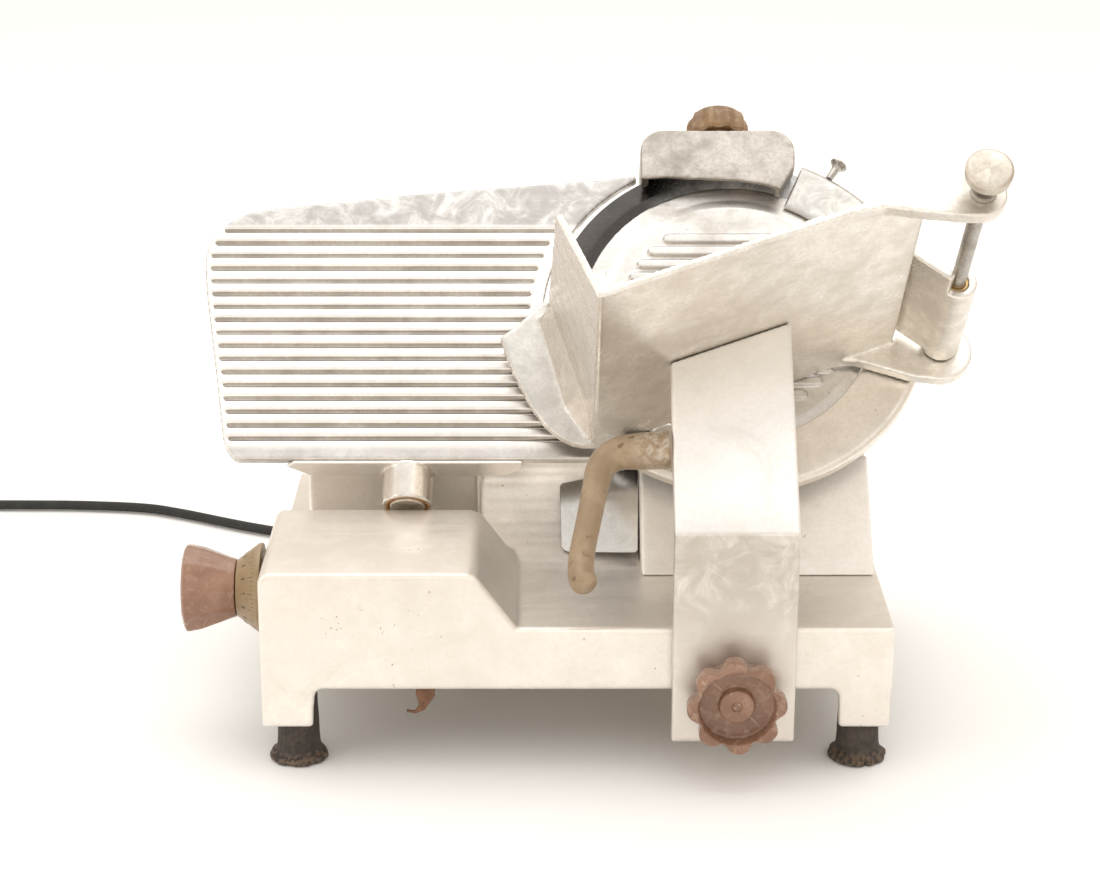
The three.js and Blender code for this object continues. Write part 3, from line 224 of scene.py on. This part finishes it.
M['motor_paint'] = bake('motor_paint', (0.10, 0.13, 0.15), (0.13, 0.16, 0.18), (0.24, 0.22, 0.19), 0.4, 0.6, 0.4)
M['bronze'] = alu('bronze', (0.60, 0.42, 0.19), (0.45, 0.30, 0.13), 0.3, 0.5)
M['stone'] = bake('stone', (0.36, 0.32, 0.27), (0.45, 0.41, 0.36), (0.25, 0.22, 0.18), 0.85, 0.95, 0.6)
M['rusty_steel'] = bake('rusty_steel', (0.10, 0.042, 0.02), (0.18, 0.085, 0.042), (0.06, 0.03, 0.018), 0.75, 0.95, 0.6)
M['button_green'] = bake('button_green', (0.03, 0.16, 0.04), (0.04, 0.20, 0.06), (0.10, 0.2, 0.1), 0.3, 0.45, 0.2)
M['button_red'] = bake('button_red', (0.36, 0.03, 0.02), (0.44, 0.05, 0.03), (0.5, 0.2, 0.15), 0.3, 0.45, 0.2)

slot_of = {s['node']: s['material_slot'] for s in frame['record']['subparts']}
for n, o in frame['nodes'].items():
    o.data.materials.clear(); o.data.materials.append(M['cord'] if n.startswith('cord') else M[slot_of[n]] if slot_of[n] in M else M['steel'])
body_of = {n: b for b, ns in frame['record']['behaviour']['bodies'].items() for n in ns}

t = T('floor'); a = t.noise(1.5, 3, 0.5)
fl = mesh_obj('floor', [(-12, -9, -0.0006), (12, -9, -0.0006), (12, 14, -0.0006), (-12, 14, -0.0006)], [(0, 1, 2, 3)], False)
fl.data.materials.append(t.done(t.mix(a, (0.93, 0.925, 0.915), (0.95, 0.945, 0.935)), t.rng(a, 0, 1, 0.75, 0.85)))

# ------------------------------------------------------------ helpers for pieces
def put(o, node, mat, *more, body=None):
    """o stands for the CAD node (and more), in the given material"""
    if not o.data.materials: o.data.materials.append(mat)
    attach(o, body or body_of[node]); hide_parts(node, *more); return o
def extra(o, body, mat):
    if not o.data.materials: o.data.materials.append(mat)
    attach(o, body); return o

def soften(node, voxel, it=4, dec=0.3, mat=None, pick=None):
    """the CAD casting with its edges rounded off, as a fine mesh"""
    o = bpy.data.objects.new(node + '_fine', frame['nodes'][node].data.copy()); col.objects.link(o); o.data.materials.clear()
    m = o.modifiers.new('r', 'REMESH'); m.mode = 'VOXEL'; m.voxel_size = voxel / 1000; m.adaptivity = 0
    def bakeit():
        dg = bpy.context.evaluated_depsgraph_get(); me = bpy.data.meshes.new_from_object(o.evaluated_get(dg)); o.modifiers.clear(); o.data = me
    bakeit()
    bm = bmesh.new(); bm.from_mesh(o.data)
    for _ in range(it): bmesh.ops.smooth_vert(bm, verts=bm.verts, factor=0.5, use_axis_x=True, use_axis_y=True, use_axis_z=True)
    bm.to_mesh(o.data); bm.free()
    if dec < 1:
        m = o.modifiers.new('d', 'DECIMATE'); m.ratio = dec
    o.data.polygons.foreach_set('use_smooth', [True] * len(o.data.polygons))
    bakeit(); o.data.polygons.foreach_set('use_smooth', [True] * len(o.data.polygons))
    m = o.modifiers.new('w', 'WEIGHTED_NORMAL'); m.weight = 60; m.keep_sharp = False
    bakeit()
    o.data.materials.append(mat or M[slot_of[node]])
    if pick:
        mats, fn = pick
        for q in mats: o.data.materials.append(q)
        for p in o.data.polygons:
            i = fn(p.center, p.normal)
            if i: p.material_index = i
    return put(o, node, None)

def skin(name, rings, cap=True):
    n = len(rings[0]); vs = [p for r in rings for p in r]; fs = []
    for i in range(len(rings) - 1):
        for k in range(n):
            a, b = i * n + k, i * n + (k + 1) % n; fs.append((a, b, b + n, a + n))
    if cap: fs += [tuple(range(n))[::-1], tuple((len(rings) - 1) * n + k for k in range(n))]
    return mesh_obj(name, vs, fs)
def rprof(pts, r=0.6, seg=4):
    """profile with its inner corners rounded"""
    out = [pts[0]]
    for i in range(1, len(pts) - 1):
        a, c, b = (Vector(q) for q in (pts[i - 1], pts[i], pts[i + 1])); da, db = a - c, b - c
        la, lb = da.length, db.length; da.normalize(); db.normalize(); h = math.acos(max(-1, min(1, da.dot(db)))) / 2
        if h > 1.5: out.append(tuple(c)); continue
        tt = min(r / math.tan(h), la * 0.45, lb * 0.45); p0, p1 = c + da * tt, c + db * tt
        for k in range(seg + 1):
            s = k / seg; out.append(tuple(p0 * (1 - s) ** 2 + c * 2 * s * (1 - s) + p1 * s * s))
    return out + [pts[-1]]
def turn(name, prof, o, d, seg=96, rad=None, r=0.6):
    """[radius, height] mm profile turned round axis d through o; rad(angle, r, h) may change the radius"""
    d = Vector(d).normalized(); q = Vector((0, 0, 1)).rotation_difference(d); rings = []
    for (rr, h) in (rprof(prof, r) if r else prof):
        ring = []
        for k in range(seg):
            a = 2 * math.pi * k / seg; x = rad(a, rr, h) if rad else rr
            x = max(x, 0.02); ring.append(o + q @ Vector((x * math.cos(a), x * math.sin(a), h)) / 1000)
        rings.append(ring)
    return skin(name, rings)
def catmull(pts, step=4.0):
    """centripetal Catmull-Rom through mm points"""
    pts = [Vector(p) for p in pts]; P_ = [pts[0] * 2 - pts[1]] + pts + [pts[-1] * 2 - pts[-2]]; out = []
    for i in range(1, len(P_) - 2):
        p0, p1, p2, p3 = P_[i - 1:i + 3]; t0 = 0; t1 = t0 + (p1 - p0).length ** .5; t2 = t1 + (p2 - p1).length ** .5; t3 = t2 + (p3 - p2).length ** .5
        n = max(2, int((p2 - p1).length / step))
        for k in range(n):
            t_ = t1 + (t2 - t1) * k / n
            A1 = p0 * ((t1 - t_) / (t1 - t0)) + p1 * ((t_ - t0) / (t1 - t0)); A2 = p1 * ((t2 - t_) / (t2 - t1)) + p2 * ((t_ - t1) / (t2 - t1)); A3 = p2 * ((t3 - t_) / (t3 - t2)) + p3 * ((t_ - t2) / (t3 - t2))
            B1 = A1 * ((t2 - t_) / (t2 - t0)) + A2 * ((t_ - t0) / (t2 - t0)); B2 = A2 * ((t3 - t_) / (t3 - t1)) + A3 * ((t_ - t1) / (t3 - t1))
            out.append(B1 * ((t2 - t_) / (t2 - t1)) + B2 * ((t_ - t1) / (t2 - t1)))
    return out + [pts[-1]]
def sweep(name, path, rfun, seg=24):
    """round section along a list of metre points; rfun(t) mm"""
    T_ = [((path[min(i + 1, len(path) - 1)]) - path[max(i - 1, 0)]).normalized() for i in range(len(path))]
    a = T_[0].orthogonal().normalized(); rings = []
    for i, p in enumerate(path):
        if i: a = (a - T_[i] * a.dot(T_[i])).normalized()
        b = T_[i].cross(a); r = rfun(i / (len(path) - 1)) / 1000
        rings.append([p + (a * math.cos(2 * math.pi * k / seg) + b * math.sin(2 * math.pi * k / seg)) * r for k in range(seg)])
    return skin(name, rings)

# ------------------------------------------------------------ cord: on the table, spare length coiled out of view
CORD = [[10, 100, -95], [10, 120, -95], [10, 142, -95.3], [8, 166, -104], [2, 186, -130], [-10, 200, -160], [-32, 211, -177], [-62, 217, -178.9], [-120, 221, -178.9], [-200, 234, -178.9], [-279.6, 265, -178.9], [-359.6, 307, -178.9], [-390.7, 320, -178.9], [-452.6, 328.6, -178.9], [-520, 330.5, -178.9], [-581.5, 330.5, -178.9]]
pts = [Vector(p) for p in CORD[1:]] + [Vector((-604, 331.5, -179))]
turns = [(-115, 48.5, 4.9), (-160, 45.5, 4.7), (-360, 45.5, 4.7), (-420, 45.5, 6.5), (-470, 45.5, 12.5), (-520, 45.5, 13.7), (-700, 45.5, 13.7), (-770, 49, 13.9), (-830, 54.5, 13.7), (-1000, 54.5, 13.6), (-1170, 54.5, 13.6), (-1245, 54.5, 13.8)]
a0 = -115
while a0 >= -1245:
    for (p, q) in zip(turns, turns[1:]):
        if q[0] <= a0 <= p[0]:
            s = (a0 - p[0]) / (q[0] - p[0]); s = s * s * (3 - 2 * s); r_, z_ = p[1] + (q[1] - p[1]) * s, p[2] + (q[2] - p[2]) * s; break
    pts.append(Vector((-621 + r_ * math.cos(math.radians(a0)), 381 + r_ * math.sin(math.radians(a0)), -184 + z_))); a0 -= 15
pts += [Vector((-676, 398, -169.3)), Vector((-673, 412, -166.4)), Vector((-671.2, 424, -164.7))]
path = [O(*p) for p in catmull(pts, 6)]
cord = sweep('cord', path, lambda t_: 4.5, 20); cord.data.materials.append(M['cord'])
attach(cord, 'base'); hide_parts('cord_tube', 'cord_coil')
tie = sweep('cord_tie', [O(*p) for p in catmull([[-566, 381, -183.2], [-561.2, 381, -175], [-563, 381, -164.4], [-571, 381, -164.0], [-580, 381, -164.6], [-581.2, 381, -175], [-579, 381, -183.2], [-571, 381, -183.3], [-566, 381, -183.2]], 2)], lambda t_: 0.8, 10)
extra(tie, 'base', M['black_plastic'])
plug = soften('cord_plug', 0.8, 3, 0.5, M['black_plastic'], ([M['blade_bright']], lambda c, n: 1 if c.y > O(0, 474.5, 0).y else 0))
gland = turn('cord_relief', [(5.2, 7.4), (10, 7.4), (10, 12), (8.4, 14), (8.4, 17), (7.6, 17.5), (7.9, 18.5), (7.9, 21), (7.1, 21.5), (7.4, 22.5), (7.4, 25), (6.7, 25.5), (7.0, 26.5), (6.9, 29), (6.3, 29.5), (6.4, 38), (5.2, 38)], O(10, 103, -95), (0, 1, 0), 48, r=0.3)
put(gland, 'cord_gland', M['rubber'])

# ------------------------------------------------------------ castings
vf = lambda p: ((p.x * 1000 + SX - BX), ) + (lambda y, z: (S * (y + z), S * (z - y)))(p.y * 1000 + SY, p.z * 1000 + FZ - BZ)
soften('base_casting', 1.9, 5, 0.22)
soften('blade_pedestal', 1.8, 4, 0.3, M['pedestal_cast'])
soften('blade_head', 1.9, 4, 0.3)
soften('carriage_arm', 1.4, 6, 0.3, M['arm'])
soften('carriage_foot', 1.8, 3, 0.4)
soften('slide_block', 2.0, 2, 0.4)
def tray_pick(c, n):
    u, v, w_ = vf(c)
    if n.dot(N) > 0.6 and w_ < 18 and u < -112 and v < 8: return 2
    return 1 if (n.x < -0.75 and w_ > 17.5 and v < 8 and u < -110) else 0
soften('tray_casting', 1.4, 3, 0.3, M['ground_aluminium'], ([M['tray_polished'], M['tray_flange']], tray_pick))
soften('pusher_plate', 1.6, 3, 0.35)
soften('pusher_hub', 1.1, 3, 0.4, M['ground_aluminium'])
# groove bottom faces get the painted-shade material
soften('gauge_plate', 1.15, 3, 0.35, M['gauge_aluminium'], ([M['gauge_groove']], lambda c, n: 1 if (-5.6 < vf(c)[2] < -3.7 and -112 < vf(c)[1] < 92 and n.dot(N) > 0.2) else 0))
M['boss'] = alu('boss_turned', (0.84, 0.80, 0.745), (0.66, 0.62, 0.565), 0.16, 0.28, brush=(60, 20, 20), bst=0.08, cast=0.03, specks=0.2)
def boss_pick(c, n):
    u, v, w_ = vf(c); d = math.hypot(u + 265.6, w_ + 22)
    return 1 if (d < 17.6 and v < -130) else 2 if (d < 21.6 and v < -129.6) else 0
soften('gauge_bracket', 1.1, 3, 0.4, M['cast_aluminium'], ([M['bore_orange'], M['boss']], boss_pick))
soften('gauge_carrier', 1.4, 2, 0.5)
soften('blade_cover', 0.95, 3, 0.35, M['cover_aluminium'])
soften('guard_ring', 1.0, 4, 0.4, M['guard_aluminium'])
soften('guard_stay_upper', 1.2, 3, 0.5); soften('guard_stay_lower', 1.2, 3, 0.5)
# inner faces of the housing get the painted-light material
soften('sharpener_housing', 1.0, 6, 0.45, M['sharp_aluminium'], ([M['sharp_inner']], lambda c, n: 1 if (n.dot(N) < -0.3 and vf(c)[2] > 4) else 0))
soften('sharpener_bracket', 1.2, 3, 0.5)
soften('head_rear_cover', 0.9, 2, 0.4); soften('bottom_plate', 1.0, 1, 0.2)
soften('motor_body', 1.6, 3, 0.4); soften('shaft_support', 1.2, 3, 0.5)
soften('switch_plate', 0.9, 3, 0.4); soften('rusty_clip', 0.5, 2, 0.8)

# ------------------------------------------------------------ turned and moulded pieces
put(turn('blade_fine', [(9.8, -5), (116, -5), (130, -4.4), (149.4, -1), (150, -0.5), (149.4, -0.1), (134.5, 0.0), (134, 0.0), (126.5, -1.4), (9.8, -1.4)], P(0, 0, 0), N, 256, r=0), 'blade', M['blade_steel'])
put(turn('rod_knob_fine', [(0, 276.8), (8, 276.8), (9, 278.2), (9.4, 278.6), (17.3, 278.8), (17.6, 286.3), (15.6, 288.1), (8, 288.9), (0, 289)], P(165, -36, 0), N, 120, rad=lambda a, r, h: r + (0.22 * math.sin(60 * a) if r > 17 and h < 287 else 0), r=0.5), 'rod_knob', M['dull_aluminium'])
put(turn('pusher_rod_fine', [(0, 12.5), (6, 12.5), (6, 262.5), (5.6, 263), (5.6, 276.5), (0, 276.5)], P(165, -36, 0), N, 48), 'pusher_rod', M['steel'])
put(turn('guard_stud_fine', [(0, 0), (3, 0), (3.2, 6), (3.4, 11), (4.4, 13.6), (6.6, 15.4), (7.6, 16.4), (7.6, 17.4), (5.8, 17.9), (5, 17.2), (0, 17.0)], P(85.2 * 158.4 / 158.9, 134.2 * 158.4 / 158.9, 2), (P(85.2, 134.2, 2) - P(0, 0, 2)), 48, r=0.35), 'guard_stud', M['steel'])
LOBE = lambda n, ph, dep: (lambda a, r, h: r - dep(r, h) * 0.5 * (1 - math.cos(n * (a - ph))))
def star(a, r, h):
    d = 6.6 * max(0, min(1, (r - 29.5) / 5)); return r - d * (0.5 * (1 - math.cos(8 * (a - math.radians(3.5))))) ** 1.7
sk = [(0, 12.2), (5, 12.2), (5, 0), (20, 0.2), (30, 6), (36, 11.5), (37.5, 16), (37.6, 26), (37.0, 28), (35.4, 29), (31, 29.2), (29.2, 28.2), (28.4, 18.4), (26.6, 17.2), (15, 17.0), (13.6, 17.6), (13.0, 23.6), (12.2, 24.2), (4.2, 24.2), (3.4, 22.6), (0, 22.4)]
sk = [(0, -12.2), (5, -12.2), (5, 0)] + sk[3:]
o = turn('star_knob_fine', sk, O(139.8, -259, -115.1), (0, -1, 0), 240, rad=star, r=1.0); put(o, 'star_knob', M['bakelite'])
o = turn('thickness_knob_fine', [(0, 2.6), (22, 2.6), (26, 1.2), (31, 0.4), (34.8, 2.6), (34.6, 6), (33, 14), (30, 22), (27, 30), (24.4, 36), (22.6, 40.6), (0, 41.2)], O(-284.5, -175, -62.3), (1, 0, 0), 240,
    rad=lambda a, r, h: r - (1.9 * max(0, min(1, (r - 22) / 9)) * (0.35 + 0.65 * min(1, h / 12))) * (0.5 * (1 - math.cos(10 * a))) ** 0.7, r=1.4); put(o, 'thickness_knob', M['bakelite_thick'])
put(turn('thickness_dial_fine', [(0, 0), (22.4, 0), (34.8, 16.6), (35, 17.4), (35, 19.4), (0, 19.4)], O(-243, -175, -62.3), (1, 0, 0), 160, r=0.5), 'thickness_dial', M['dial'])
put(turn('sharpener_knob_fine', [(0, -8.5), (4, -8.5), (4, 0.2), (15, 0.2), (16, 1.6), (20, 2.0), (21.2, 0.4), (24.5, 0.8), (26.4, 3.4), (26.6, 8.5), (26.2, 15), (24.6, 19.6), (21, 22.6), (15, 23.5), (0, 23.5)], P(-7.5, 174.5, -2), V, 200,
    rad=lambda a, r, h: r - (3.6 * max(0, min(1, (r - 21) / 4))) * (0.5 * (1 - math.cos(10 * a))) ** 0.8, r=1.0), 'sharpener_knob', M['bakelite_top'])
# dial marks and numbers
def on_dial(a, s, lift=0.0):
    """point on the dial cone at angle a (radians), s = 0..1 from the waist"""
    r = 22.9 + (34.3 - 22.9) * s + lift; return O(-243 + 0.6 + 15.6 * s - lift * 0.6, -175 + r * math.cos(a), -62.3 + r * math.sin(a))
vs, fs = [], []
for k in range(60):
    a, s0 = 2 * math.pi * k / 60, (0.62 if k % 4 == 0 else 0.78); hw = 0.35 / 34
    b = len(vs)
    for lift in (0.12, -0.3):
        for (aa, s) in ((a - hw, s0), (a + hw, s0), (a + hw, 0.96), (a - hw, 0.96)): vs.append(on_dial(aa, s, lift))
    fs += [(b, b + 1, b + 2, b + 3), (b + 7, b + 6, b + 5, b + 4), (b, b + 4, b + 5, b + 1), (b + 1, b + 5, b + 6, b + 2), (b + 2, b + 6, b + 7, b + 3), (b + 3, b + 7, b + 4, b)]
extra(mesh_obj('dial_marks', vs, fs, False), 'thickness', M['ink'])
for k in range(15):
    cu = bpy.data.curves.new('digit', 'FONT'); cu.body = str(k); cu.size = 1.0; cu.align_x = 'CENTER'; cu.extrude = 0.04
    to = bpy.data.objects.new('digit_src', cu); col.objects.link(to); bpy.context.view_layer.update()
    me = bpy.data.meshes.new_from_object(to.evaluated_get(bpy.context.evaluated_depsgraph_get())); bpy.data.objects.remove(to)
    a = 2 * math.pi * k / 15
    for v_ in me.vertices:
        x, y, z = v_.co; v_.co = on_dial(a - x * 4.2 / 28, 0.28 + y * 0.30, 0.1 + z * 1.5)
    me.update(); d = bpy.data.objects.new(f'dial_number_{k}', me); col.objects.link(d); extra(d, 'thickness', M['ink'])

# handle: bent lever with a worn socket
hp = [(-60.4, -171.5, 106), (-72, -172.2, 106), (-86, -173.2, 106), (-98, -174.7, 106), (-107, -179.5, 106), (-112.8, -188, 106), (-116, -200, 106), (-121, -226, 106), (-127, -258, 107), (-128, -270, 109), (-127.4, -279, 111), (-124, -288, 114)]
hpath = [P(*(q)) for q in hp]; hpath = [v_ / 1000 for v_ in catmull([v_ * 1000 for v_ in hpath], 2.2)]
def hr(t_):
    xs = [0, 0.02, 0.12, 0.2, 0.26, 0.34, 0.45, 0.7, 0.9, 0.965, 0.99, 1.0]; ys = [14.2, 14.8, 14.3, 13.4, 12.4, 11.2, 9.9, 9.4, 9.9, 10.2, 9.4, 7.2]
    return float(np.interp(t_, xs, ys))
put(sweep('handle_fine', hpath, hr, 48), 'handle', M['khaki_grip'])
# feet: worn rubber with a ragged rim
for i, nm in enumerate(('foot_front_left', 'foot_front_right', 'foot_rear_left', 'foot_rear_right')):
    ctr = O((-194.8, 238.5)[i % 2], (-221, 86)[i >> 1], -184)
    def rag(a, r, h, i=i):
        if r > 18.2 and h < 8:
            q = mnoise.noise(Vector((2.1 * math.cos(a) + 7 * i, 2.1 * math.sin(a), h * 0.12))); q2 = mnoise.noise(Vector((9 * math.cos(a), 9 * math.sin(a) + 5 * i, h * 0.4)))
            r -= (1.5 + 2.4 * max(0, q) + 1.1 * abs(q2)) * min(1, (r - 18) / 5)
            if i == 1: r -= 3.6 * math.exp(-((a - 4.95) / 0.09) ** 2) * min(1, (r - 18) / 4)
            return r
        return r + 0.25 * mnoise.noise(Vector((6 * math.cos(a), 6 * math.sin(a), h * 0.3)))
    prof = [(0, 0), (22.8, 0), (24.4, 0.9), (24.5, 3.0), (24.1, 4.6), (22, 5.6), (19.4, 6.6), (17.6, 8.4), (16.6, 12), (16.2, 20), (16.0, 27), (15.8, 34), (15.4, 44), (15.2, 60.4), (0, 60.4)]
    put(turn(nm + '_fine', prof, ctr, (0, 0, 1), 144, rad=rag, r=0.8), nm, M['rubber'])
# slice deflector: thin flat sheet with rounded corners
c4 = [O(7.9, -60, -17.4), O(72, -59, -3), O(71.5, -107.5, -62.2), O(9.5, -103, -60.2)]
nn = (c4[1] - c4[0]).cross(c4[3] - c4[0]).normalized(); ex = (c4[1] - c4[0]).normalized(); ey = nn.cross(ex)
flat = [((p - c4[0]).dot(ex) * 1000, (p - c4[0]).dot(ey) * 1000) for p in c4]
def rpoly(pts_, rads, seg=6):
    out = []
    for i in range(len(pts_)):
        a, c, b = (Vector(q) for q in (pts_[i - 1], pts_[i], pts_[(i + 1) % len(pts_)])); da, db = (a - c).normalized(), (b - c).normalized(); h = math.acos(da.dot(db)) / 2; tt = rads[i] / math.tan(h)
        p0, p1 = c + da * tt, c + db * tt
        out += [tuple(p0 * (1 - s / seg) ** 2 + c * 2 * (s / seg) * (1 - s / seg) + p1 * (s / seg) ** 2) for s in range(seg + 1)]
    return out
ol = rpoly(flat, (4, 3, 4, 9)); h_ = 0.0006
vs = [c4[0] + ex * (x / 1000) + ey * (y / 1000) + nn * s for s in (0.0, 0.0012) for x, y in ol]; n_ = len(ol)
d = mesh_obj('slice_deflector_fine', vs, [tuple(range(n_)), tuple(range(2 * n_ - 1, n_ - 1, -1))] + [(k, (k + 1) % n_, (k + 1) % n_ + n_, k + n_) for k in range(n_)], False)
put(d, 'slice_deflector', M['stainless_sheet'])
m = d.modifiers.new('b', 'BEVEL'); m.width = 0.0004; m.segments = 2
# rods, stones, buttons, sharpener post
for nm, pr, o_, d_, mt in (('slide_rod', [(0, 0), (8, 0), (8, 468.8), (0, 468.8)], O(-214.1, -195, -100), X, 'steel'), ('guide_rod', [(0, 0), (5, 0), (5, 468.8), (0, 468.8)], O(-214.1, -150, -100), X, 'steel'),
        ('start_button', [(0, 0), (7.5, 0), (7.5, 14.4), (6, 16), (0, 15.6)], O(-90, 104, -20), (0, 1, 0), 'button_green'), ('stop_button', [(0, 0), (7.5, 0), (7.5, 14), (10.5, 14.4), (10.5, 18.6), (8, 20), (0, 20)], O(-90, 104, -48), (0, 1, 0), 'button_red'),
        ('grinding_stone', [(0, -20.5), (14, -20.5), (14, -11), (11, -9.9), (0, -9.9)], P(-46, 139, 0), N, 'stone'), ('truing_stone', [(0, 4.9), (9, 4.9), (11, 6), (11, 15), (0, 15)], P(16, 139, 0), N, 'stone'),
        ('sharpener_post', [(0, 78.3), (5.5, 78.3), (5.5, 162), (0, 162)], P(-7.5, 0, -16), V, 'steel')):
    put(turn(nm + '_fine', pr, o_, d_, 64), nm, M[mt])
# screws on the covers, oval head with a round recess in the middle
def screw(name, p, d_, r, body):
    o_ = turn(name, [(0, -0.8), (r, -0.8), (r, 0.1 * r), (0.8 * r, 0.38 * r), (0.4 * r, 0.5 * r), (0.34 * r, 0.2 * r), (0, 0.2 * r)], p, d_, 28, r=0.2); extra(o_, body, M['steel'])
for k, (x, z) in enumerate(((-113, -63), (-67, -63), (-113, -7), (-67, -7))): screw(f'switch_screw_{k}', O(x, 115.1, z), (0, 1, 0), 2.6, 'base')
for k, ang in enumerate((20, 65, 115, 160)): screw(f'head_screw_{k}', P(74 * math.cos(math.radians(ang)), 74 * math.sin(math.radians(ang)), -77.8), -N, 3.2, 'base')
